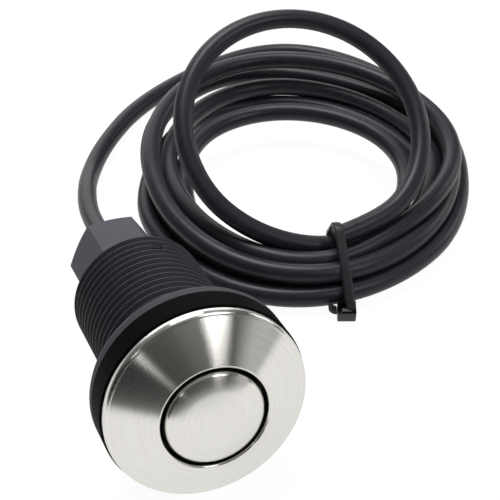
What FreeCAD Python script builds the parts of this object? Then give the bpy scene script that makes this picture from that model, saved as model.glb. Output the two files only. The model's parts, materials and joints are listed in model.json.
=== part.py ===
import FreeCAD, Part
import math
import os

os.makedirs("parts", exist_ok=True)

# A sink top air switch lying on its side, with its coiled air hose beside it.
# All sizes are in mm. The switch is built upright on the Z axis with the rim of
# the bezel at height 0 and the button on top, then laid down on the floor with
# its face to -Y. The hose is built where it lies. +Z is up.

# Driving sizes
bezel_radius = 24.0
bezel_rise = 5.8
button_opening = 12.7
button_radius = 11.72
button_travel = 3.5
head_lip = 0.4
head_bottom = -8.1
washer_edge = -10.0
washer_bottom = -11.2
washer_draft = 0.45
thread_radius = 17.05
thread_depth = 1.15
thread_pitch = 2.5
neck_radius = 16.6
shank_bottom = -53.2
bore_radius = 14.3
nut_across_flats = 21.0
nut_length = 24.0
hose_diameter = 5.6
hose_bore = 3.4

# Clearances
running_gap = 0.3
screw_gap = 0.05
stop_gap = 0.05

hose_radius = hose_diameter / 2
head_radius = bezel_radius + head_lip
washer_back_radius = head_radius - washer_draft

# The switch rests on the edge of its washer and on its last thread
thread_edge = shank_bottom + 0.8
tilt = math.atan2(head_radius - thread_radius, washer_edge - thread_edge)
axis_height = head_radius * math.cos(tilt) - washer_edge * math.sin(tilt)


def vec(x, y, z):
    return FreeCAD.Vector(x, y, z)


def outline(points):
    """A closed wire in the XZ plane. A pair is a corner; a pair of pairs is an arc's middle and end."""
    edges = []
    start = points[0]
    last = start
    for point in points[1:] + [start]:
        if isinstance(point[0], tuple):
            middle, end = point
            arc = Part.Arc(vec(last[0], 0, last[1]), vec(middle[0], 0, middle[1]), vec(end[0], 0, end[1]))
            edges.append(arc.toShape())
        else:
            end = point
            if math.dist(last, end) > 1e-6:
                edges.append(Part.makeLine(vec(last[0], 0, last[1]), vec(end[0], 0, end[1])))
        last = end
    return Part.Wire(edges)


def turned(points):
    return Part.Face(outline(points)).revolve(vec(0, 0, 0), vec(0, 0, 1), 360)


def dome(radius, edge, crown):
    """The middle and the crown of an arc that rises from an edge to the axis."""
    rise = crown - edge
    bend = (radius ** 2 + rise ** 2) / (2 * rise)
    return ((radius / 2, crown - bend + math.sqrt(bend ** 2 - radius ** 2 / 4)), (0, crown))


def tube(outer, inner, bottom, top):
    solid = Part.makeCylinder(outer, top - bottom, vec(0, 0, bottom))
    return solid.cut(Part.makeCylinder(inner, top - bottom, vec(0, 0, bottom)))


def laid_down(shape):
    placed = shape.copy()
    placed.rotate(vec(0, 0, 0), vec(1, 0, 0), 90 - math.degrees(tilt))
    placed.translate(vec(0, 0, axis_height))
    return placed


def on_axis(height):
    """The place of a point of the switch's axis once it is laid down."""
    return vec(0, -height * math.cos(tilt), axis_height + height * math.sin(tilt))


pieces = []


def keep(name, shape):
    """Notes a finished piece, so that all are saved together in the frame."""
    if not shape.isValid() or len(shape.Solids) != 1:
        print("not one valid solid:", name)
    print(name, round(shape.Volume, 1))
    pieces.append((name, shape.Solids[0]))


# Bezel: a pressed stainless shell, a shallow cone with a soft shoulder, whose
# centre is turned down into a collar that lines the button's opening
wall = 1.0
collar_radius = button_opening + wall
collar_bottom = 1.0
skirt_bottom = -1.3
skirt_inner = bezel_radius - wall
lip_radius = button_opening + 0.55
shoulder_radius = bezel_radius - 0.95
shoulder_height = 0.85
belly = 0.15
cone_middle = ((lip_radius + shoulder_radius) / 2, (bezel_rise + shoulder_height) / 2 + belly)
under_lip = bezel_rise - 1.5 * wall
under_shoulder = (skirt_inner - 0.7, 0.15)
under_middle = ((collar_radius + under_shoulder[0]) / 2, (under_lip + under_shoulder[1]) / 2 + belly)
bezel = turned([
    (button_opening, collar_bottom),
    (collar_radius, collar_bottom),
    (collar_radius, under_lip),
    (under_middle, under_shoulder),
    ((skirt_inner - 0.15, -0.25), (skirt_inner, -0.9)),
    (skirt_inner, skirt_bottom),
    (bezel_radius, skirt_bottom),
    (bezel_radius, -0.35),
    ((bezel_radius - 0.25, 0.45), (shoulder_radius, shoulder_height)),
    (cone_middle, (lip_radius, bezel_rise)),
    ((button_opening + 0.16, bezel_rise - 0.12), (button_opening, bezel_rise - 0.5)),
])
keep("bezel", laid_down(bezel))

# Button cap: a drawn stainless cup with a low dome and a rounded edge
cap_wall = 0.8
cap_bottom = -2.6
cap_edge = 5.4
cap_crown = 6.9
button_cap = turned([
    (button_radius - cap_wall, cap_edge - 0.6),
    (button_radius - cap_wall, cap_bottom),
    (button_radius, cap_bottom),
    (button_radius, cap_edge - 0.1),
    ((button_radius - 0.25, cap_edge + 0.42), (button_radius - 0.85, cap_edge + 0.68)),
    dome(button_radius - 0.85, cap_edge + 0.68, cap_crown),
    (0, cap_crown - cap_wall),
    (button_radius - cap_wall - 0.5, cap_edge - 0.1),
])
keep("button_cap", laid_down(button_cap))

guide_bottom = -3.0

# Plunger: a moulded acetal cup inside the cap. Its flange stops under the guide
# ring, holds the spring and carries two keys that run in the bore's grooves
flange_top = guide_bottom - stop_gap
flange_bottom = flange_top - 1.6
flange_radius = bore_radius - running_gap
stem_radius = 6.0
stem_bottom = -9.0
key_width = 2.4
key_depth = 0.7
plunger_radius = button_radius - cap_wall
plunger = turned([
    (0, cap_edge - 1.4),
    (plunger_radius - 0.6, cap_edge - 1.4),
    (plunger_radius, cap_edge - 2.0),
    (plunger_radius, flange_top),
    (flange_radius, flange_top),
    (flange_radius, flange_bottom),
    (plunger_radius - 1.4, flange_bottom),
    (plunger_radius - 1.4, cap_edge - 3.2),
    (stem_radius, cap_edge - 3.2),
    (stem_radius, stem_bottom),
    (stem_radius - 1.6, stem_bottom),
    (stem_radius - 1.6, cap_edge - 3.2),
    (0, cap_edge - 3.2),
])
for side in (0, 180):
    key = Part.makeBox(key_depth + 0.5, key_width, flange_top - flange_bottom)
    key.translate(vec(flange_radius - 0.5, -key_width / 2, flange_bottom))
    key.rotate(vec(0, 0, 0), vec(0, 0, 1), side)
    plunger = plunger.fuse(key)
plunger = plunger.removeSplitter()
keep("button_plunger", laid_down(plunger))

# Guide ring: pressed into the mouth of the bore under the bezel's collar. Its
# groove holds a wiper that keeps water out of the bore
guide_radius = button_radius + running_gap
wiper_outer = bore_radius - 0.9
wiper_inner = button_radius + screw_gap
wiper_height = -0.7
wiper_wire = (wiper_outer - wiper_inner) / 2
guide = turned([
    (guide_radius, guide_bottom + 0.6),
    (guide_radius + 0.6, guide_bottom),
    (bore_radius, guide_bottom),
    (bore_radius, collar_bottom),
    (guide_radius + 0.5, collar_bottom),
    (guide_radius, collar_bottom - 0.5),
    (guide_radius, wiper_height + wiper_wire),
    (wiper_outer, wiper_height + wiper_wire),
    (wiper_outer, wiper_height - wiper_wire),
    (guide_radius, wiper_height - wiper_wire),
])
keep("guide_ring", laid_down(guide))

wiper_seal = Part.makeTorus((wiper_outer + wiper_inner) / 2, wiper_wire, vec(0, 0, wiper_height))
keep("wiper_seal", laid_down(wiper_seal))

# Body: one black moulding with a broad head under the bezel, a bored shank and
# an external thread. A pocket under the bezel keeps the head's walls even
mouth_wall = 2.0
pocket_floor = -5.4
pocket_radius = skirt_inner - 1.8
thread_top = washer_bottom - 0.3
core_radius = thread_radius - thread_depth
shank = [
    (bore_radius, collar_bottom + 2.3),
    (bore_radius, shank_bottom),
    (core_radius - 0.4, shank_bottom),
]
crests = int((thread_top - shank_bottom) / thread_pitch)
crest_flat = 0.35
flank = 0.62
for turn in range(crests + 1):
    crest = shank_bottom + 0.8 + crest_flat / 2 + turn * thread_pitch
    if crest + flank > thread_top:
        break
    shank += [
        (core_radius, crest - crest_flat / 2 - flank),
        (thread_radius, crest - crest_flat / 2),
        (thread_radius, crest + crest_flat / 2),
        (core_radius, crest + crest_flat / 2 + flank),
    ]
body = turned(shank + [
    (core_radius, thread_top),
    (neck_radius, thread_top + 0.1),
    (neck_radius, head_bottom),
    (head_radius, head_bottom),
    (head_radius, skirt_bottom - 0.35),
    (head_radius - 0.35, skirt_bottom),
    (skirt_inner, skirt_bottom),
    (skirt_inner, -0.9),
    (skirt_inner - 0.7, -0.5),
    (pocket_radius, -0.1),
    (pocket_radius, pocket_floor),
    (bore_radius + mouth_wall, pocket_floor),
    (bore_radius + mouth_wall, collar_bottom + 1.9),
])
key_length = button_travel + 3.5
for side in (0, 180):
    groove = Part.makeBox(key_depth + running_gap, key_width + 2 * running_gap, key_length)
    groove.translate(vec(bore_radius - 0.3, -key_width / 2 - running_gap, flange_bottom - button_travel - 1.2))
    groove.rotate(vec(0, 0, 0), vec(0, 0, 1), side)
    body = body.cut(groove)

# Two small windows near the back of the thread, where the base plug snaps in
window_height = -47.1
window_long = 2.6
window_high = 1.7
window_turn = 73.9
for side in (0, 180):
    window = Part.makeBox(thread_radius, window_long, window_high)
    window.translate(vec(bore_radius - 1, -window_long / 2, window_height - window_high / 2))
    window.rotate(vec(0, 0, 0), vec(0, 0, 1), window_turn + side)
    body = body.cut(window)
keep("body", laid_down(body))

# Sink washer: an EPDM ring with a slightly tapered edge, which slips over the thread
washer_bore = thread_radius + running_gap
washer = turned([
    (washer_bore, head_bottom),
    (washer_bore, washer_bottom),
    (washer_back_radius, washer_bottom),
    (head_radius, washer_edge),
    (head_radius, head_bottom),
])
keep("sink_washer", laid_down(washer))

# Base plug: closes the bore, holds the neck of the bellows on a spigot, and
# passes the air through a barb into the hose
plug_top = -45.0
plug_bottom = -52.8
spigot_radius = 4.2
spigot_top = -40.5
spigot_bore = 1.5
nipple_radius = 8.0
nipple_bottom = plug_bottom - 11.2
barb_radius = hose_bore / 2
barb_bottom = nipple_bottom - 7.0
seal_height = -50.4
seal_cord = 1.6
groove_radius = bore_radius - 1.25
plug = turned([
    (spigot_bore, spigot_top),
    (spigot_radius - 0.5, spigot_top),
    (spigot_radius, spigot_top - 0.5),
    (spigot_radius, plug_top),
    (bore_radius, plug_top),
    (bore_radius, seal_height + seal_cord * 0.6),
    (groove_radius, seal_height + seal_cord * 0.6),
    (groove_radius, seal_height - seal_cord * 0.6),
    (bore_radius, seal_height - seal_cord * 0.6),
    (bore_radius, plug_bottom),
    (nipple_radius, plug_bottom),
    (nipple_radius, nipple_bottom),
    (barb_radius, nipple_bottom),
    (barb_radius, barb_bottom + 0.8),
    (barb_radius - 0.4, barb_bottom),
    (spigot_bore - 0.5, barb_bottom),
    (spigot_bore - 0.5, nipple_bottom),
    (spigot_bore, nipple_bottom + 1.0),
])
lug_gap = 0.2
lug_reach = 1.0
for side in (0, 180):
    lug = Part.makeBox(lug_reach + 0.6, window_long - 2 * lug_gap, window_high - 2 * lug_gap)
    lug.translate(vec(bore_radius - 0.6, -window_long / 2 + lug_gap, window_height - window_high / 2 + lug_gap))
    lug.rotate(vec(0, 0, 0), vec(0, 0, 1), window_turn + side)
    plug = plug.fuse(lug)
plug = plug.removeSplitter()
keep("base_plug", laid_down(plug))

# Seal ring of the base plug, squeezed into the groove's depth
ring_middle = (groove_radius + bore_radius) / 2
ring_half = (bore_radius - groove_radius) / 2
seal = turned([
    (groove_radius, seal_height - 0.35),
    ((ring_middle, seal_height - seal_cord / 2), (bore_radius, seal_height - 0.35)),
    (bore_radius, seal_height + 0.35),
    ((ring_middle, seal_height + seal_cord / 2), (groove_radius, seal_height + 0.35)),
])
keep("base_seal", laid_down(seal))

# Bellows: the rubber pump that the plunger's stem presses
bellows_wall = 0.9
fold_inner = 6.6
fold_outer = 10.0
fold_pitch = 4.6
fold_count = 6
fold_top = stem_bottom - 1.6
neck_top = fold_top - fold_pitch * fold_count
outside = []
inside = []
for fold in range(fold_count):
    height = fold_top - fold * fold_pitch
    outside += [(fold_inner, height), (fold_outer, height - fold_pitch / 2)]
    inside += [(fold_inner - bellows_wall, height - 0.3), (fold_outer - bellows_wall - 0.3, height - fold_pitch / 2)]
bellows_neck = spigot_radius + bellows_wall + 0.2
bellows = turned(
    [(0, stem_bottom), (stem_radius, stem_bottom)]
    + outside
    + [
        (fold_inner, neck_top),
        (bellows_neck, neck_top - 0.8),
        (bellows_neck, plug_top),
        (spigot_radius, plug_top),
        (spigot_radius, neck_top - 0.6),
        (fold_inner - bellows_wall, neck_top + 0.4),
    ]
    + list(reversed(inside))
    + [(0, fold_top + 0.3)]
)
keep("bellows", laid_down(bellows))

# Bellows clip: a sprung wire ring that holds the neck on the spigot
clip_wire = 0.5
clip = Part.makeTorus(bellows_neck + clip_wire, clip_wire, vec(0, 0, plug_top + 2.0))
keep("bellows_clip", laid_down(clip))

# Return spring: round wire, standing on a steel seat and lifting the flange. Each
# half turn is an arc in a plane tilted by half the pitch, so the arcs run on smoothly
wire_radius = 0.6
spring_radius = 12.4
seat_thick = 0.5
spring_seat = tube(bore_radius - running_gap / 2, spring_radius - 3 * wire_radius, plug_top, plug_top + seat_thick)
keep("spring_seat", laid_down(spring_seat))

spring_bottom = plug_top + seat_thick + wire_radius
spring_top = flange_bottom - wire_radius
spring_turns = 8
half_pitch = (spring_top - spring_bottom) / (2 * spring_turns)
spring_arcs = []
for half in range(2 * spring_turns):
    side = 1 - 2 * (half % 2)
    height = spring_bottom + half * half_pitch
    start = vec(side * spring_radius, 0, height)
    middle = vec(0, side * math.hypot(spring_radius, half_pitch / 2), height + half_pitch / 2)
    end = vec(-side * spring_radius, 0, height + half_pitch)
    spring_arcs.append(Part.Arc(start, middle, end).toShape())
spring_section = Part.Wire(Part.makeCircle(wire_radius, vec(spring_radius, 0, spring_bottom), vec(0, 1, 0)))
spring = Part.Wire(spring_arcs).makePipeShell([spring_section], True, False)
keep("return_spring", laid_down(spring))

# Gland nut: a long hexagon screwed on the plug's nipple, which squeezes a rubber
# seal and a split collet on the hose
nut_top = shank_bottom - 0.4
nut_bottom = nut_top - nut_length
nut_corner = nut_across_flats / math.sqrt(3)
corners = [vec(nut_corner * math.cos(k * math.pi / 3), nut_corner * math.sin(k * math.pi / 3), 0) for k in range(7)]
hexagon = Part.Face(Part.makePolygon(corners)).extrude(vec(0, 0, nut_length))
hexagon.translate(vec(0, 0, nut_bottom))
cone_bottom = nut_bottom + 3.2
seal_top = nipple_bottom
seal_bottom = seal_top - 2.2
slip_bottom = seal_bottom - 0.5
seal_radius = 6.6
exit_radius = hose_radius + 0.15
nut_envelope = turned([
    (nipple_radius + screw_gap, nut_top),
    (nut_corner - 1.0, nut_top),
    (nut_corner, nut_top - 0.7),
    (nut_corner, nut_bottom + 1.3),
    (nut_corner - 1.6, nut_bottom + 0.3),
    (nut_corner - 4.0, nut_bottom),
    (exit_radius + 0.5, nut_bottom),
    (exit_radius, nut_bottom + 0.5),
    (exit_radius, cone_bottom),
    (exit_radius + 1.2, cone_bottom),
    (seal_radius, slip_bottom - 0.2),
    (seal_radius, seal_top - 0.5),
    (nipple_radius + screw_gap, seal_top - 0.5),
])
gland_nut = hexagon.common(nut_envelope)
keep("gland_nut", laid_down(gland_nut))

gland_seal = tube(seal_radius, hose_radius, seal_bottom, seal_top)
keep("gland_seal", laid_down(gland_seal))

# Slip washer: lets the nut turn without twisting the seal
gland_washer = tube(seal_radius - 0.1, exit_radius, slip_bottom, seal_bottom)
keep("gland_washer", laid_down(gland_washer))

# Collet: a split cone that the nut's taper closes on the hose
collet = turned([
    (hose_radius, slip_bottom),
    (seal_radius - 0.2, slip_bottom),
    (seal_radius - 0.2, slip_bottom - 0.2),
    (exit_radius + 1.1, cone_bottom + 0.1),
    (hose_radius, cone_bottom + 0.1),
])
slit_width = 0.8
collet_band = 1.5
for quarter in range(4):
    slit = Part.makeBox(seal_radius, slit_width, slip_bottom - collet_band - cone_bottom)
    slit.translate(vec(0, -slit_width / 2, cone_bottom))
    slit.rotate(vec(0, 0, 0), vec(0, 0, 1), 45 + 90 * quarter)
    collet = collet.cut(slit)
keep("gland_collet", laid_down(collet))

# Hose, as it lies: it leaves the nut on the switch's axis, comes down to the
# floor and runs round to the coil. Its corners are rounded by tangent arcs
floor_height = hose_radius
hose_start = on_axis(nipple_bottom)
hose_corners = [
    hose_start,
    on_axis(-105.6),
    vec(11.0, 136.0, floor_height),
    vec(29.0, 157.5, floor_height),
    vec(48.0, 171.0, floor_height),
]


def rounded_route(points):
    """Straight runs joined by tangent arcs, each as large as its shorter run allows."""
    edges = []
    start = points[0]
    for before, corner, after in zip(points, points[1:], points[2:]):
        back = before - corner
        ahead = after - corner
        reach = 0.45 * min(back.Length, ahead.Length)
        back.normalize()
        ahead.normalize()
        half_turn = (math.pi - back.getAngle(ahead)) / 2
        radius = reach / math.tan(half_turn)
        middle_way = back + ahead
        middle_way.normalize()
        middle = corner + middle_way * (radius / math.cos(half_turn) - radius)
        arc_start = corner + back * reach
        arc_end = corner + ahead * reach
        edges.append(Part.LineSegment(start, arc_start).toShape())
        edges.append(Part.Arc(arc_start, middle, arc_end).toShape())
        print("hose bend radius", round(radius, 1))
        start = arc_end
    edges.append(Part.LineSegment(start, points[-1]).toShape())
    return Part.Wire(edges)


hose_route = rounded_route(hose_corners)
hose_way = on_axis(-1) - on_axis(0)
outer_ring = Part.Wire(Part.makeCircle(hose_radius, hose_start, hose_way))
inner_ring = Part.Wire(Part.makeCircle(hose_bore / 2, hose_start, hose_way))
hose_outer = hose_route.makePipeShell([outer_ring], True, False)
hose_inner = hose_route.makePipeShell([inner_ring], True, False)
hose = hose_outer.cut(hose_inner)
section_area = math.pi * (hose_radius ** 2 - (hose_bore / 2) ** 2)
print("hose length", round(hose_route.Length, 1), "volume check", round(hose.Volume / (section_area * hose_route.Length), 4))

# The coil: turns of hose tied at one place, in a bundle of three rows. Each turn
# is an oval that leaves the tie and fans out from there
strap_thick = 1.2
strap_width = 2.4
tie_place = vec(56.8, 48.2, 0)
tie_yaw = math.radians(-21.0)
tie_along = vec(math.cos(tie_yaw), math.sin(tie_yaw), 0)
tie_across = vec(-math.sin(tie_yaw), math.cos(tie_yaw), 0)
row_step = hose_diameter + 0.15
layer_step = hose_diameter * 0.88


def tie_slot(row, layer):
    """The middle of a strand in the tied bundle."""
    lift = strap_thick + hose_radius + layer * layer_step
    return tie_place + tie_across * ((row + 0.5 * (layer % 2)) * row_step) + vec(0, 0, lift)


# Each turn: its place in the tie, half width, half depth, turn about Z, rise and
# how far it leans towards one side of its oval
turn_list = [
    (tie_slot(0, 0), 42.8, 65.1, -17.0, 0.0, -5.2),
    (tie_slot(1, 0), 46.0, 62.0, -13.0, 0.0, -4.5),
    (tie_slot(0, 1), 44.0, 54.0, -10.0, 0.0, -3.0),
    (tie_slot(1, 1), 44.8, 49.2, -9.0, 5.0, -1.9),
    (tie_slot(2, 0), 38.0, 47.0, -6.0, 0.5, -1.5),
    (tie_slot(2, 1), 31.6, 34.0, -0.6, 3.0, -1.3),
]
top_radius = 34.6
top_turn = (tie_slot(2, 2), top_radius, top_radius, 0.3, 32.6, 0.0)


def on_turn(turn, angle):
    """A point of a turn: angle 0 is at the tie and 180 degrees is the far side."""
    start, half_width, half_depth, yaw, rise, lean = turn
    yaw = math.radians(yaw)
    rise = math.radians(rise)
    angle = math.radians(angle)
    along = vec(math.cos(yaw), math.sin(yaw), 0)
    away = vec(-math.sin(yaw) * math.cos(rise), math.cos(yaw) * math.cos(rise), math.sin(rise))
    out = half_depth * (1 - math.cos(angle)) - lean * math.sin(2 * angle)
    return start + along * (half_width * math.sin(angle)) + away * out


def oval_round(places, ahead, sag, wrap):
    """A closed upright oval round the strands at these places, square to ahead."""
    sideways = vec(ahead.y, -ahead.x, 0)
    reach = [place.dot(sideways) for place in places]
    top = max(place.z for place in places) + hose_radius + wrap
    bottom = min(place.z for place in places) - hose_radius - sag - wrap
    half_across = (max(reach) - min(reach)) / 2 + hose_radius + wrap
    half_up = (top - bottom) / 2
    middle = (max(reach) + min(reach)) / 2
    along = sum(place.dot(ahead) for place in places) / len(places)
    centre = sideways * middle + ahead * along
    centre.z = (top + bottom) / 2
    corners = []
    for step in range(12):
        turn = math.radians(30 * step)
        corners.append(centre + sideways * (half_across * math.cos(turn)) + vec(0, 0, half_up * math.sin(turn)))
    oval = Part.BSplineCurve()
    oval.interpolate(Points=corners, PeriodicFlag=True)
    return Part.Wire(oval.toShape())


# The lower turns as one ring that follows their outer shape. They lie on the
# floor, and the strap lifts them by its own thickness at the tie
bundle = [on_turn(turn, 0) for turn in turn_list + [top_turn]]
sections = [oval_round(bundle, tie_along, 0, 0)]
for step in range(1, 12):
    angle = 30 * step
    places = [on_turn(turn, angle) for turn in turn_list]
    if step in (1, 11):
        places.append(on_turn(top_turn, angle))
    ahead = on_turn(turn_list[3], angle + 5) - on_turn(turn_list[3], angle - 5)
    ahead.z = 0
    ahead.normalize()
    sections.append(oval_round(places, ahead, strap_thick, 0))
ring = Part.makeLoft(sections, True, False, True)

# The top turn springs up from the tie on its own
loop_start = on_turn(top_turn, 0)
loop_centre = (loop_start + on_turn(top_turn, 180)) / 2
loop_axis = (on_turn(top_turn, 90) - loop_centre).cross(loop_start - loop_centre)
loop = Part.makeTorus(top_radius, hose_radius, loop_centre, loop_axis)
hose_coil = ring.fuse(loop).removeSplitter()
keep("hose_coil", hose_coil)
keep("hose", hose)

# Cable tie: a strap drawn round the bundle. Its head lies in front, low down,
# and its cut tail stands out of the head
head_size = 4.4
head_height = 3.4
tail_length = 4.5
strap = Part.Face(oval_round(bundle, tie_along, 0, strap_thick))
strap = strap.cut(Part.Face(oval_round(bundle, tie_along, 0, 0)))
strap.translate(tie_along * (-strap_width / 2))
strap = strap.extrude(tie_along * strap_width)
front = min(place.dot(tie_across) for place in bundle) - hose_radius - strap_thick
head_middle = sum(place.dot(tie_along) for place in bundle) / len(bundle)
tie_head = Part.makeBox(head_size, head_size + 2.0, head_height, vec(-head_size / 2, -head_size + 1.6, 0))
tie_head = tie_head.makeFillet(0.6, tie_head.Edges)
tail_profile = Part.Wire([
    Part.LineSegment(vec(0, -head_size + 2.0, 2.3), vec(0, -head_size + 2.0, 1.1)).toShape(),
    Part.Arc(vec(0, -head_size + 2.0, 1.1), vec(0, -head_size - 0.4, 1.5), vec(0, -head_size + 1.6 - tail_length, 2.6)).toShape(),
    Part.LineSegment(vec(0, -head_size + 1.6 - tail_length, 2.6), vec(0, -head_size + 1.3 - tail_length, 3.7)).toShape(),
    Part.Arc(vec(0, -head_size + 1.3 - tail_length, 3.7), vec(0, -head_size - 0.2, 2.7), vec(0, -head_size + 2.0, 2.3)).toShape(),
])
tail = Part.Face(tail_profile).extrude(vec(strap_width - 0.4, 0, 0))
tail.translate(vec(-strap_width / 2 + 0.2, 0, 0))
tie_head = tie_head.fuse(tail)
tie_head.rotate(vec(0, 0, 0), vec(0, 0, 1), math.degrees(tie_yaw))
tie_head.translate(tie_across * front + tie_along * head_middle)
cable_tie = strap.fuse(tie_head.cut(hose_coil)).removeSplitter()
keep("cable_tie", cable_tie)

# The frame's origin is on the floor under the middle of the switch, leaving out
# the hose and its tie
switch_box = FreeCAD.BoundBox()
for name, solid in pieces:
    if name not in ("hose", "hose_coil", "cable_tie"):
        switch_box.add(solid.optimalBoundingBox(False))
to_origin = vec(-switch_box.Center.x, -switch_box.Center.y, 0)
print("moved to the origin by", round(to_origin.x, 3), round(to_origin.y, 3), "size", switch_box)
for name, solid in pieces:
    solid.translate(to_origin)
    solid.exportStep("parts/" + name + ".step")
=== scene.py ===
import json
import math

import bmesh
import bpy
import numpy as np
from mathutils import Matrix, Vector


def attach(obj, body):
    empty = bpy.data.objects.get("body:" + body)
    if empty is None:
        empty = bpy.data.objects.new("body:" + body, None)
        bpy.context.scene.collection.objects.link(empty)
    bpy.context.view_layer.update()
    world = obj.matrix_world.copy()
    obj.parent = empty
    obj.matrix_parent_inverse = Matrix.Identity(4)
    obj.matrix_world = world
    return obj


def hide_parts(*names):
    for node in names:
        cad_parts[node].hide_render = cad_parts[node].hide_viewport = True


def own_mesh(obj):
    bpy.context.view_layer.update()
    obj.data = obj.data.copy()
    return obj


# Looks of the sink top air switch. All sizes are in metres, in the frame's own axes:
# +Z up, the button faces -Y and tilts up a little, the coiled hose lies to +X.
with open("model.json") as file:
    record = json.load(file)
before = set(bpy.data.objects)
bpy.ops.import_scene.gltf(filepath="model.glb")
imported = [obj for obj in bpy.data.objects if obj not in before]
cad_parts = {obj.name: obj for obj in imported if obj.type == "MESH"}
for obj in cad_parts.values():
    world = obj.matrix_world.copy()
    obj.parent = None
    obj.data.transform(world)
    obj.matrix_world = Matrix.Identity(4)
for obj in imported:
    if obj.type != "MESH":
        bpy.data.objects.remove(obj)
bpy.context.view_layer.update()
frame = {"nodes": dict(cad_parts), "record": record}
mm = 0.001

# The switch's axis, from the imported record. Heights along it count from the rim
# of the bezel, positive towards the button
mounts = {mount["name"]: mount for mount in frame["record"]["mounts"]}
back_way = Vector(mounts["shank_thread"]["axis"]).normalized()
shank_middle = -32.225 * mm
rim_centre = Vector(mounts["shank_thread"]["pos_m"]) + back_way * shank_middle
side_way = Vector((1, 0, 0))
up_way = side_way.cross(back_way)


def on_axis(height):
    """The place of a point of the switch's axis, its height in millimetres."""
    return rim_centre - back_way * (height * mm)


# ---- Materials ----

def colour(text):
    """A hex colour as it looks on screen, in the renderer's linear values."""
    parts = [int(text[i:i + 2], 16) / 255 for i in (1, 3, 5)]
    return [part / 12.92 if part <= 0.04045 else ((part + 0.055) / 1.055) ** 2.4 for part in parts] + [1]


def add(tree, kind, values=(), links=(), **settings):
    """Adds a node. values and links go to its inputs by name or number."""
    node = tree.nodes.new(kind)
    for name, value in settings.items():
        setattr(node, name, value)
    for name, value in dict(values).items():
        node.inputs[name].default_value = value
    for name, socket in dict(links).items():
        tree.links.new(socket, node.inputs[name])
    return node


def blank_material(name):
    """A new material with one Principled shader: its tree, that shader and Object coordinates."""
    material = bpy.data.materials.new(name)
    material.use_nodes = True
    tree = material.node_tree
    tree.nodes.clear()
    shader = add(tree, "ShaderNodeBsdfPrincipled")
    add(tree, "ShaderNodeOutputMaterial", links={"Surface": shader.outputs["BSDF"]})
    place = add(tree, "ShaderNodeTexCoord").outputs["Object"]
    return material, tree, shader, place


# A noise mostly runs between these two values
noise_range = {"From Min": 0.25, "From Max": 0.75}


def two_tones(tree, shader, grain, dark, light, low, high):
    """Colours the shader between two near tones. The grain sets the light one's share, low to high."""
    share = add(tree, "ShaderNodeMapRange", {**noise_range, "To Min": low, "To Max": high}, {"Value": grain})
    tones = {"A": colour(dark), "B": colour(light)}
    mixed = add(tree, "ShaderNodeMix", tones, {"Factor": share.outputs["Result"]}, data_type="RGBA")
    tree.links.new(mixed.outputs["Result"], shader.inputs["Base Color"])


def uneven_gloss(tree, shader, patches, low, high):
    """Lets the roughness drift from low to high over broad patches."""
    rough = add(tree, "ShaderNodeMapRange", {**noise_range, "To Min": low, "To Max": high}, {"Value": patches})
    tree.links.new(rough.outputs["Result"], shader.inputs["Roughness"])


def bumped(tree, shader, heights, distance, strength=1.0, round_edges=0.0, shape=None, normal=None):
    """Gives the shader's surface a fine relief, over softened edges or a broad shape in metres."""
    links = {"Height": heights}
    if round_edges:
        edge = add(tree, "ShaderNodeBevel", {"Radius": round_edges}, samples=6)
        links["Normal"] = edge.outputs["Normal"]
    if shape is not None:
        broad = add(tree, "ShaderNodeBump", {"Distance": 1.0, "Strength": 1.0}, {"Height": shape, "Normal": normal})
        links["Normal"] = broad.outputs["Normal"]
    bump = add(tree, "ShaderNodeBump", {"Distance": distance, "Strength": strength}, links)
    tree.links.new(bump.outputs["Normal"], shader.inputs["Normal"])


def axis_depth(tree, place):
    """A point's offset from the middle of the bezel's rim, and how far behind the rim it lies."""
    offset = add(tree, "ShaderNodeVectorMath", {1: rim_centre}, {0: place}, operation="SUBTRACT").outputs[0]
    depth = add(tree, "ShaderNodeVectorMath", {1: back_way}, {0: offset}, operation="DOT_PRODUCT")
    return offset, depth.outputs["Value"]


# Patches of uneven tone and gloss on a plastic are about 20 mm wide
patch_scale = 45.0


def plastic(name, dark, light, rough, grain, relief, edge=0.0, specular=0.3):
    """A moulded or extruded material: two near tones, a fine grain and uneven gloss."""
    material, tree, shader, place = blank_material(name)
    patches = add(
        tree, "ShaderNodeTexNoise", {"Scale": patch_scale, "Detail": 4.0, "Roughness": 0.5}, {"Vector": place}
    ).outputs["Fac"]
    fine = add(
        tree, "ShaderNodeTexNoise", {"Scale": grain, "Detail": 5.0, "Roughness": 0.6}, {"Vector": place}
    ).outputs["Fac"]
    tone = add(tree, "ShaderNodeMath", {1: 0.5}, {0: patches, 2: fine}, operation="MULTIPLY_ADD")
    two_tones(tree, shader, tone.outputs[0], dark, light, -0.3, 0.7)
    uneven_gloss(tree, shader, patches, rough - 0.05, rough + 0.06)
    shader.inputs["Specular IOR Level"].default_value = specular
    bumped(tree, shader, fine, relief, round_edges=edge)
    return material


# How far behind the rim the body turns from its head, painted near black as shade between bezel and washer, to its
# shank's finish
shaded_head_end = 8.5 * mm
shank_start = 9.5 * mm


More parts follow.
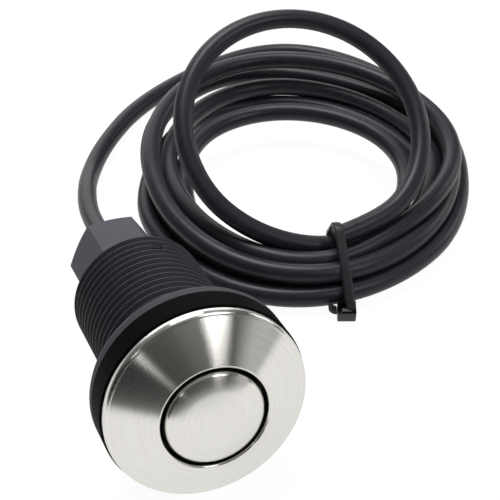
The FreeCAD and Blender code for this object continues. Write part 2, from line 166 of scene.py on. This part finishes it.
def moulded_black(name):
    """The body's polypropylene: a head painted near black and nearly glossless as shade between bezel and washer,
    and a drier, greyer shank behind it.
    """
    material = plastic(name, "#2A2A30", "#38383F", 0.55, 1400.0, 0.000012, edge=0.00015)
    tree = material.node_tree
    shader = tree.nodes["Principled BSDF"]
    depth = axis_depth(tree, tree.nodes["Texture Coordinate"].outputs["Object"])[1]
    shank = add(
        tree, "ShaderNodeMapRange", {"From Min": shaded_head_end, "From Max": shank_start}, {"Value": depth}
    ).outputs["Result"]
    grey = shader.inputs["Base Color"].links[0].from_socket
    # Painted shade: in front of the shank the head is coloured near black and has its gloss nearly taken away,
    # standing in for the shade between bezel and washer
    tone = add(tree, "ShaderNodeMix", {"A": colour("#050506")}, {"Factor": shank, "B": grey}, data_type="RGBA")
    tree.links.new(tone.outputs["Result"], shader.inputs["Base Color"])
    gloss = add(tree, "ShaderNodeMapRange", {"To Min": 0.025, "To Max": 0.25}, {"Value": shank})
    tree.links.new(gloss.outputs["Result"], shader.inputs["Specular IOR Level"])
    return material


# The cap's crown begins to roll down at this radius and does so over the next stretch.
# Its drop is the bend times the square of the way gone, in metres
crown_start = 6.5 * mm
crown_stretch = 5.5 * mm
crown_bend = -30.0
# The crown's very middle is a plain ball of this radius
ball_radius = 65.6 * mm


def spun_steel(name):
    """Stainless steel brushed in circles: ring-shaped hairlines and fans of light across them."""
    material, tree, shader, place = blank_material(name)
    offset = axis_depth(tree, place)[0]
    across = add(tree, "ShaderNodeVectorMath", {1: side_way}, {0: offset}, operation="DOT_PRODUCT")
    upward = add(tree, "ShaderNodeVectorMath", {1: up_way}, {0: offset}, operation="DOT_PRODUCT")
    flat = add(
        tree, "ShaderNodeCombineXYZ", links={0: across.outputs["Value"], 1: upward.outputs["Value"]}
    ).outputs[0]
    radius = add(tree, "ShaderNodeVectorMath", links={0: flat}, operation="LENGTH").outputs["Value"]
    # The brush marks are rings that drift a little on their way round
    wander = add(tree, "ShaderNodeVectorMath", {1: (0.012, 0.012, 0)}, {0: flat}, operation="MULTIPLY")
    ring = add(tree, "ShaderNodeCombineXYZ", links={2: radius})
    rings_at = add(tree, "ShaderNodeVectorMath", links={0: wander.outputs[0], 1: ring.outputs[0]}).outputs[0]
    # Hairlines are drawn about 0.1 mm apart and bands about 1 mm, coarser than real, to be seen
    hairlines = add(
        tree, "ShaderNodeTexNoise", {"Scale": 9000.0, "Detail": 3.0, "Roughness": 0.7}, {"Vector": rings_at}
    ).outputs["Fac"]
    bands = add(
        tree, "ShaderNodeTexNoise", {"Scale": 1200.0, "Detail": 2.0, "Roughness": 0.5}, {"Vector": rings_at}
    ).outputs["Fac"]
    # The grooves run round the axis, so light spreads along the radius
    along = add(tree, "ShaderNodeVectorMath", {1: -back_way}, {0: offset}, operation="PROJECT").outputs[0]
    outward = add(tree, "ShaderNodeVectorMath", links={0: offset, 1: along}, operation="SUBTRACT").outputs[0]
    tangent = add(tree, "ShaderNodeVectorMath", links={0: outward}, operation="NORMALIZE").outputs[0]
    tree.links.new(tangent, shader.inputs["Tangent"])
    tone = add(tree, "ShaderNodeMath", {1: 0.5}, {0: bands, 2: hairlines}, operation="MULTIPLY_ADD")
    two_tones(tree, shader, tone.outputs[0], "#DAD7D0", "#EFEDE7", -0.2, 0.8)
    shader.inputs["Metallic"].default_value = 1.0
    shader.inputs["Roughness"].default_value = 0.23
    # The middle of the cap is brushed too, but in no one direction
    order = add(
        tree, "ShaderNodeMapRange", {"From Min": 2 * mm, "From Max": 8 * mm, "To Max": 0.97}, {"Value": radius}
    )
    tree.links.new(order.outputs["Result"], shader.inputs["Anisotropic"])
    # The cap's crown rolls down towards its edge
    past = add(tree, "ShaderNodeMath", {1: crown_start}, {0: radius}, operation="SUBTRACT")
    roll = add(
        tree, "ShaderNodeMapRange", {"From Max": crown_stretch, "To Max": crown_stretch}, {"Value": past.outputs[0]}
    )
    squared = add(tree, "ShaderNodeMath", {1: 2.0}, {0: roll.outputs["Result"]}, operation="POWER")
    crown = add(tree, "ShaderNodeMath", {1: crown_bend}, {0: squared.outputs[0]}, operation="MULTIPLY")
    # At its very middle it takes the normal of the ball, whose centre lies far behind it
    centre = back_way * ball_radius
    from_ball = add(tree, "ShaderNodeVectorMath", {1: centre}, {0: offset}, operation="SUBTRACT")
    ball = add(tree, "ShaderNodeVectorMath", links={0: from_ball.outputs[0]}, operation="NORMALIZE")
    outside = add(tree, "ShaderNodeMapRange", {"From Min": 1.2 * mm, "From Max": 2.5 * mm}, {"Value": radius})
    own = add(tree, "ShaderNodeNewGeometry").outputs["Normal"]
    # Inputs 4 and 5 are the two vectors, and output 1 is their mix
    normal = add(
        tree, "ShaderNodeMix", links={"Factor": outside.outputs["Result"], 4: ball.outputs[0], 5: own},
        data_type="VECTOR",
    ).outputs[1]
    bumped(tree, shader, hairlines, 0.000004, 0.5, shape=crown.outputs[0], normal=normal)
    return material


def sprung_steel(name):
    """Drawn or pressed steel, with faint marks of its forming."""
    material, tree, shader, place = blank_material(name)
    marks = add(tree, "ShaderNodeTexNoise", {"Scale": 900.0, "Detail": 3.0}, {"Vector": place})
    tones = {"A": colour("#8F8F90"), "B": colour("#B9B8B5")}
    mixed = add(tree, "ShaderNodeMix", tones, {"Factor": marks.outputs["Fac"]}, data_type="RGBA")
    tree.links.new(mixed.outputs["Result"], shader.inputs["Base Color"])
    patches = add(tree, "ShaderNodeTexNoise", {"Scale": 300.0, "Detail": 3.0}, {"Vector": place})
    uneven_gloss(tree, shader, patches.outputs["Fac"], 0.28, 0.42)
    shader.inputs["Metallic"].default_value = 1.0
    return material


materials = {
    # circular brushed stainless steel, slightly warm
    "brushed_stainless": spun_steel("brushed_stainless"),
    # black moulded polypropylene with a faint mould grain
    "moulded_black": moulded_black("moulded_black"),
    # dry black polypropylene of the nut, greyer from handling
    "nut_black": plastic("nut_black", "#3A3A41", "#4E4E57", 0.6, 700.0, 0.00003, edge=0.0003, specular=0.35),
    # cut sheet rubber, matt and greyer on its edge
    "washer_rubber": plastic("washer_rubber", "#34343A", "#44444A", 0.65, 1800.0, 0.00002, edge=0.0002),
    # extruded soft hose, smooth with a satin sheen
    "hose_pvc": plastic("hose_pvc", "#1E1E24", "#2C2C34", 0.38, 500.0, 0.000004, specular=0.3),
    # black nylon of the cable tie
    "tie_nylon": plastic("tie_nylon", "#1E1E22", "#2C2C31", 0.42, 900.0, 0.00001, edge=0.0001, specular=0.3),
    # natural acetal mouldings
    "acetal_white": plastic("acetal_white", "#D9D5CB", "#E8E5DD", 0.4, 900.0, 0.00001, edge=0.0001),
    # black acetal mouldings
    "acetal_black": plastic("acetal_black", "#17171A", "#242428", 0.36, 900.0, 0.00001, edge=0.0001),
    # moulded seal rubber
    "seal_rubber": plastic("seal_rubber", "#101012", "#1C1C1E", 0.6, 1500.0, 0.00002),
    # drawn spring wire and pressed steel rings
    "spring_steel": sprung_steel("spring_steel"),
}


def finish_node(name, slot):
    """A CAD node keeps its shape and takes the fuller material of its slot."""
    node = frame["nodes"][name]
    for place in node.material_slots:
        place.link = "DATA"
        place.material = materials[slot]


for subpart in frame["record"]["subparts"]:
    finish_node(subpart["node"], subpart["material_slot"])


# ---- The spring and the bellows ----


def shortens(name):
    """A node that the button presses shorter gets a mesh of its own."""
    node = frame["nodes"][name]
    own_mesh(node)


shortens("return_spring")
shortens("bellows")


# ---- The hose ----

# Its route repeats the points of the part's source, in metres. From the gland it
# comes down to the floor and runs round to the coil
hose_diameter = 5.6 * mm
hose_radius = hose_diameter / 2
frame_shift = Vector((0, -34.991 * mm, 0))
hose_exit = on_axis(-64)
lead_points = [hose_exit, on_axis(-78), on_axis(-92), on_axis(-105.6) + Vector((0.6, 0, 0.2)) * mm]
lead_points += [Vector(place) * mm + frame_shift for place in [
    (3.6, 117.0, 6.0),
    (7.6, 128.0, 3.2),
    (13.2, 138.0, 2.8),
    (20.5, 147.5, 2.8),
    (30.0, 157.5, 2.8),
    (43.5, 166.8, 2.8),
    (60.5, 174.0, 3.2),
]]

# The tied bundle: rows of strands side by side, in layers that lie in each other's hollows
strap_thick = 1.2 * mm
tie_place = Vector((56.8, 48.2, 0)) * mm + frame_shift
tie_yaw = math.radians(-21.0)
tie_along = Vector((math.cos(tie_yaw), math.sin(tie_yaw), 0))
tie_across = Vector((-math.sin(tie_yaw), math.cos(tie_yaw), 0))
row_step = hose_diameter + 0.15 * mm
layer_step = hose_diameter * 0.88


def tie_slot(row, layer):
    """The middle of a strand in the tied bundle."""
    lift = strap_thick + hose_radius + layer * layer_step
    return tie_place + tie_across * ((row + 0.5 * (layer % 2)) * row_step) + Vector((0, 0, lift))


# Each turn: half width on its left and right side, half depth, turn about Z and rise
# in degrees, how far it leans, and the place in the tied bundle that it runs to. The
# first is only a part of a turn
first_turn = (42.5, 42.5, 65.1, -17.0, 0.0, -5.2)
turns = [
    (46.3, 39.5, 48.5, -10.0, 0.0, -3.5, (1, 0)),
    (45.5, 43.0, 54.4, -10.5, 0.0, -4.5, (0, 1)),
    (44.8, 44.8, 48.8, -9.0, 5.0, -1.9, (1, 1)),
    (40.2, 40.0, 45.6, -9.0, 0.5, -1.5, (2, 0)),
    (34.0, 33.0, 35.6, -0.6, 3.0, -1.3, (2, 1)),
    (34.4, 34.4, 35.2, 0.2, 32.8, 0.0, (2, 2)),
]
points_a_turn = 16
entry_point = 9


def on_turn(start, left_width, right_width, half_depth, yaw, rise, lean, angle):
    """A control point of a turn: angle 0 is at the tie and 180 degrees is the far side."""
    yaw, rise, angle = math.radians(yaw), math.radians(rise), math.radians(angle)
    # A spline of order 3 runs inside its control points by this much
    reach = 1 / (0.75 + 0.25 * math.cos(2 * math.pi / points_a_turn))
    along = Vector((math.cos(yaw), math.sin(yaw), 0))
    away = Vector((-math.sin(yaw) * math.cos(rise), math.cos(yaw) * math.cos(rise), math.sin(rise)))
    centre = start + away * (half_depth * mm)
    half_width = left_width if math.sin(angle) < 0 else right_width
    back = half_depth * math.cos(angle) + lean * math.sin(2 * angle)
    return centre + reach * mm * (along * (half_width * math.sin(angle)) - away * back)


def coil_points():
    """The turns, one after another. Each runs from its place in the tie to the next one's."""
    step = 360 / points_a_turn
    place = tie_slot(0, 0)
    points = [on_turn(place, *first_turn, step * count) for count in range(entry_point, -1, -1)]
    for *shape, slot in turns:
        next_place = tie_slot(*slot)
        for count in range(1, points_a_turn + 1):
            share = count / points_a_turn
            start = place.lerp(next_place, share * share * (3 - 2 * share))
            points.append(on_turn(start, *shape, 360 - step * count))
        place = next_place
    # The end stands out of the tie a little
    points[-1] = place - Vector((2.0 * mm, 0, 0))
    return points


def spline_line(points, cuts=5):
    """The line of a spline of order 3 through its control points, as an array."""
    part = np.arange(cuts) / cuts
    weights = np.stack([(1 - part) ** 2 / 2, 0.5 + part - part ** 2, part ** 2 / 2])
    spans = len(points) - 2
    line = sum(weights[k][None, :, None] * points[k:k + spans, None, :] for k in range(3))
    return line.reshape(-1, 3), weights


def laid_apart(points, held, rounds=90):
    """Moves the points until no turn lies in another, and none in the floor."""
    clear = hose_diameter * 1.01
    wanted = np.array([list(point) for point in points])
    placed = wanted.copy()
    spans = len(points) - 2
    for _ in range(rounds):
        line, weights = spline_line(placed)
        run = np.concatenate([[0], np.cumsum(np.linalg.norm(np.diff(line, axis=0), axis=1))])
        between = line[:, None] - line[None]
        apart = np.linalg.norm(between, axis=2)
        # Parts of the hose within 25 mm along it are neighbours, and not two turns
        near = (apart < clear) & (np.abs(run[:, None] - run[None]) > 25 * mm)
        overlap = np.where(near, clear - apart, 0)
        push = (overlap[..., None] * between / (apart[..., None] + 1e-9)).sum(1)
        push = (push / np.maximum(near.sum(1), 1)[:, None]).reshape(spans, -1, 3)
        move = np.zeros_like(placed)
        total = np.full(len(points), 1e-9)
        for k in range(3):
            move[k:k + spans] += (weights[k][None, :, None] * push).sum(1)
            total[k:k + spans] += weights[k].sum()
        # They give way to each other, and are drawn back a little to where they were
        move = 0.9 * move / total[:, None] + 0.02 * (wanted - placed)
        move[:held] = 0
        placed += move
        placed[:, 2] = np.maximum(placed[:, 2], hose_radius)
    return placed


# The lead's first points stay where the gland holds them
held_points = 4
route = laid_apart(lead_points + coil_points(), held_points)


# ---- The cable tie ----

def in_tie_plane(across, up, along=0.0):
    """A point from its place across, up and along the tie, in metres."""
    return tie_place + tie_across * across + Vector((0, 0, up)) + tie_along * along


# The tied bundle lies between these places across the tie
bundle_front = -6 * mm
bundle_back = 25 * mm


def strands_in_tie(points):
    """Where the hose passes through the tie's plane, and where it ends beside it."""
    line = spline_line(points, 16)[0] - np.array(tie_place)
    ahead = line @ np.array(tie_along)
    across = line @ np.array(tie_across)
    found = []
    for count in range(len(line) - 1):
        if ahead[count] * ahead[count + 1] <= 0 and bundle_front < across[count] < bundle_back:
            found.append((across[count], line[count][2]))
    end = Vector(points[-1]) - tie_place
    return found + [(end.dot(tie_across), end.z)]


def finished_mesh(name, bm, smooth=35):
    """Makes an object of the mesh, shaded smooth, in the tie's material."""
    bmesh.ops.recalc_face_normals(bm, faces=bm.faces)
    mesh = bpy.data.meshes.new(name)
    bm.to_mesh(mesh)
    bm.free()
    piece = bpy.data.objects.new(name, mesh)
    bpy.context.collection.objects.link(piece)
    for face in mesh.polygons:
        face.use_smooth = True
    bpy.context.view_layer.objects.active = piece
    piece.select_set(True)
    bpy.ops.object.shade_smooth_by_angle(angle=math.radians(smooth))
    piece.select_set(False)
    mesh.materials.append(materials["tie_nylon"])
    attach(piece, "switch")
    return piece


tie_width = 2.6 * mm
band = 1.1 * mm
edge = 0.3 * mm
crown_of_band = 0.1 * mm
head_across = -6.0 * mm
head_up = 3.0 * mm
turn_in_head = 1.2 * mm
floor_gap = 0.05 * mm
# Seen from above the strap runs askew, by this much for each metre across
strap_slant = 0.17
strap_shift = 0.6 * mm
slant_middle = -4 * mm
# The strap is drawn tight round the strands and runs out to its head in front
rounds = [(across, up, hose_radius) for across, up in strands_in_tie(route)]
rounds.append((head_across, head_up, turn_in_head))
section = [
    (-tie_width / 2, 0.0),
    (-tie_width / 2, band - edge),
    (-tie_width / 2 + edge, band),
    (0.0, band + crown_of_band),
    (tie_width / 2 - edge, band),
    (tie_width / 2, band - edge),
    (tie_width / 2, 0.0),
]
strap = bmesh.new()
rows = []
stations = 120
for count in range(stations):
    turn = 2 * math.pi * count / stations
    out = (math.cos(turn), math.sin(turn))
    across, up, radius = max(rounds, key=lambda r: r[0] * out[0] + r[1] * out[1] + r[2])
    row = []
    for along, rise in section:
        reach = radius + rise
        beside = across + out[0] * reach
        askew = strap_shift - strap_slant * (beside - slant_middle)
        place = in_tie_plane(beside, max(up + out[1] * reach, floor_gap), along + askew)
        row.append(strap.verts.new(place))
    rows.append(row)
for row, next_row in zip(rows, rows[1:] + rows[:1]):
    for count in range(len(section)):
        other = (count + 1) % len(section)
        strap.faces.new([row[count], row[other], next_row[other], next_row[count]])
tie_strap = finished_mesh("tie_strap", strap)
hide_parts("cable_tie")

# The head is a small open box that the strap runs down into, with a pawl inside
head_size = (5.0 * mm, 4.2 * mm, 4.0 * mm)
head_wall = 0.9 * mm
mouth_depth = 3.0 * mm
head_edge = 0.3 * mm
head_middle = in_tie_plane(head_across - 0.9 * mm, 2.9 * mm)
head_foot = 0.1 * mm
pawl_size = (2.6 * mm, 1.0 * mm, 2.6 * mm)
pawl_back = 1.2 * mm
pawl_lift = 0.2 * mm
pawl_lean = 0.5 * mm


def sized(vertex, size):
    """A corner of a cube of side 1, moved to a block of this size."""
    return Vector(part * length for part, length in zip(vertex.co, size))


head = bmesh.new()
bmesh.ops.create_cube(head, size=1.0)
for vertex in head.verts:
    vertex.co = sized(vertex, head_size)
mouth = max(head.faces, key=lambda face: face.calc_center_median().z)
bmesh.ops.inset_region(head, faces=[mouth], thickness=head_wall)
bmesh.ops.translate(head, verts=mouth.verts, vec=(0, 0, -mouth_depth))
sharp = [side for side in head.edges if side.is_manifold]
bmesh.ops.bevel(head, geom=sharp, offset=head_edge, segments=2, profile=0.6, affect="EDGES")
for vertex in bmesh.ops.create_cube(head, size=1.0)["verts"]:
    lean = pawl_lean if vertex.co.z > 0 else 0.0
    vertex.co = sized(vertex, pawl_size) + Vector((0, lean - pawl_back, pawl_lift))
head_turn = Matrix((tie_along, tie_across, Vector((0, 0, 1)))).transposed()
head_lean = Matrix.Rotation(math.radians(14), 3, "X")
for vertex in head.verts:
    vertex.co = head_middle + head_turn @ (head_lean @ vertex.co)
lowest = min(vertex.co.z for vertex in head.verts)
for vertex in head.verts:
    vertex.co.z += head_foot - min(lowest, head_foot)
tie_head = finished_mesh("tie_head", head)

# The cut tail: a short flat tongue that bends up beside the head
tail_width = 2.4 * mm
tail_thick = 1.0 * mm
tail_start = 2.6 * mm
tail_height = 2.0 * mm
tail_bend = 2.4 * mm
tail_turn = math.radians(70)
tail_steps = 6
tail = bmesh.new()
tail_rows = []
for count in range(tail_steps + 1):
    bend = tail_turn * count / tail_steps
    out = -tail_start - tail_bend * math.sin(bend)
    rise = tail_height + tail_bend * (1 - math.cos(bend))
    row = []
    for side, thick in ((-0.5, 0), (0.5, 0), (0.5, 1), (-0.5, 1)):
        place = in_tie_plane(
            head_across + side * tail_width,
            rise + math.cos(bend) * thick * tail_thick,
            out + math.sin(bend) * thick * tail_thick,
        )
        row.append(tail.verts.new(place))
    tail_rows.append(row)
for row, next_row in zip(tail_rows, tail_rows[1:]):
    for count in range(4):
        other = (count + 1) % 4
        tail.faces.new([row[count], row[other], next_row[other], next_row[count]])
tail.faces.new(tail_rows[0])
tail.faces.new(tail_rows[-1])
tie_tail = finished_mesh("tie_tail", tail)


# ---- The hose's curve ----

hose_curve = bpy.data.curves.new("air_hose", "CURVE")
hose_curve.dimensions = "3D"
hose_curve.bevel_depth = hose_radius
hose_curve.bevel_resolution = 5
hose_curve.resolution_u = 7
hose_curve.use_fill_caps = True
hose_spline = hose_curve.splines.new("NURBS")
hose_spline.points.add(len(route) - 1)
for point, place in zip(hose_spline.points, route):
    point.co = (*place, 1)
hose_spline.order_u = 3
hose_spline.use_endpoint_u = True
hose_curve.materials.append(materials["hose_pvc"])
air_hose = bpy.data.objects.new("air_hose", hose_curve)
bpy.context.collection.objects.link(air_hose)
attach(air_hose, "switch")
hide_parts("hose", "hose_coil")


# ---- Studio ----

# The floor's painted reflection: it glows in polished metal only, and fades out in front and to the left,
# where the room is dim: between these distances from the origin
dim_way = (-0.53, -0.85, 0)
fade_start = 0.13
fade_end = 0.26
floor_bright = 0.93
floor_dim = 0.03
# The camera sees mostly an even white, and a little of the floor with its shadow
white_share = 0.9
white_level = 1.06


def backdrop_material():
    """A white card, with a faint shadow left in it. Polished metal sees a painted reflection of it, a glow that
    fades out in front.
    """
    material, tree, shader, place = blank_material("white_floor")
    shader.inputs["Base Color"].default_value = colour("#F4F4F4")
    shader.inputs["Roughness"].default_value = 0.9
    path = add(tree, "ShaderNodeLightPath")
    white = add(tree, "ShaderNodeEmission", {"Color": (1, 1, 1, 1), "Strength": white_level})
    seen = add(
        tree, "ShaderNodeMath", {1: white_share}, {0: path.outputs["Is Camera Ray"]}, operation="MULTIPLY"
    ).outputs[0]
    plain = add(tree, "ShaderNodeMixShader", links={
        0: seen, 1: shader.outputs["BSDF"], 2: white.outputs["Emission"],
    })
    ahead = add(tree, "ShaderNodeVectorMath", {1: dim_way}, {0: place}, operation="DOT_PRODUCT")
    fade = {"From Min": fade_start, "From Max": fade_end, "To Min": floor_bright, "To Max": floor_dim}
    level = add(
        tree, "ShaderNodeMapRange", fade, {"Value": ahead.outputs["Value"]}, interpolation_type="SMOOTHSTEP"
    ).outputs["Result"]
    # Painted reflection: for glossy rays the floor glows, bright behind and dim in front
    reflected = add(tree, "ShaderNodeEmission", {"Color": (1, 1, 1, 1)}, {"Strength": level})
    mixed = add(tree, "ShaderNodeMixShader", links={
        0: path.outputs["Is Glossy Ray"], 1: plain.outputs[0], 2: reflected.outputs["Emission"],
    })
    tree.links.new(mixed.outputs[0], tree.nodes["Material Output"].inputs["Surface"])
    return material


bpy.ops.mesh.primitive_plane_add(size=6)
floor = bpy.context.object
floor.name = "floor"
floor.data.materials.append(backdrop_material())

world = bpy.data.worlds.new("studio")
bpy.context.scene.world = world
world.use_nodes = True
sky = world.node_tree
sky.nodes.clear()
# The room is dim in front of the switch, and paler overhead and behind it
way = add(sky, "ShaderNodeSeparateXYZ", links={0: add(sky, "ShaderNodeTexCoord").outputs["Generated"]})
overhead = add(
    sky, "ShaderNodeMapRange", {"From Min": 0.35, "From Max": 1.0, "To Min": 0.0, "To Max": 0.2},
    {"Value": way.outputs["Z"]},
)
behind = add(
    sky, "ShaderNodeMapRange", {"From Min": -0.2, "From Max": 1.0, "To Min": 0.02, "To Max": 0.2},
    {"Value": way.outputs["Y"]},
)
room_level = add(sky, "ShaderNodeMath", links={0: overhead.outputs[0], 1: behind.outputs[0]}, operation="ADD")
room_light = add(sky, "ShaderNodeBackground", {"Color": (1, 1, 1, 1)}, {"Strength": room_level.outputs[0]})
white_light = add(sky, "ShaderNodeBackground", {"Color": (1, 1, 1, 1), "Strength": 1.0})
camera_ray = add(sky, "ShaderNodeLightPath").outputs["Is Camera Ray"]
both = add(sky, "ShaderNodeMixShader", links={0: camera_ray, 1: room_light.outputs[0], 2: white_light.outputs[0]})
add(sky, "ShaderNodeOutputWorld", links={"Surface": both.outputs[0]})


def softbox(name, place, width, height, power, aim=Vector((0.03, 0.03, 0.02))):
    """A large soft light, turned to the object."""
    lamp = bpy.data.lights.new(name, "AREA")
    lamp.shape = "RECTANGLE"
    lamp.size = width
    lamp.size_y = height
    lamp.energy = power
    holder = bpy.data.objects.new(name, lamp)
    holder.location = place
    holder.rotation_euler = (aim - Vector(place)).to_track_quat("-Z", "Y").to_euler()
    bpy.context.collection.objects.link(holder)


softbox("top_light", (0.05, 0.4, 1.0), 0.5, 0.5, 7.5)
softbox("back_light", (0.2, 1.5, 0.5), 1.6, 0.6, 6.0)
softbox("right_light", (1.3, 0.2, 0.45), 0.6, 0.5, 2.0)
# Two small lamps in front draw the narrow fans of light on the bezel, and a weak broad
# one softens its right side
softbox("front_right_light", (0.483, -0.716, 0.834), 0.38, 0.38, 2.7)
softbox("front_right_fill", (1.2, -0.9, 0.33), 0.9, 0.6, 0.85)
softbox("front_left_light", (-0.61, -0.86, 0.56), 0.12, 0.12, 0.24)

# The camera stands where the photograph was taken from
camera_data = bpy.data.cameras.new("camera")
camera_data.sensor_width = 36
camera_data.lens = 97.2
camera = bpy.data.objects.new("camera", camera_data)
look = Vector((0.28441, 0.73384, -0.61692))
right = Vector((0.93242, -0.36137, 0.0))
top = right.cross(look)
camera.matrix_world = Matrix.Translation(Vector((-69.23, -205.35, 239.35)) * mm + frame_shift) @ Matrix(
    (right, top, -look)
).transposed().to_4x4()
bpy.context.collection.objects.link(camera)
bpy.context.scene.camera = camera
bpy.context.scene.view_settings.view_transform = "Standard"
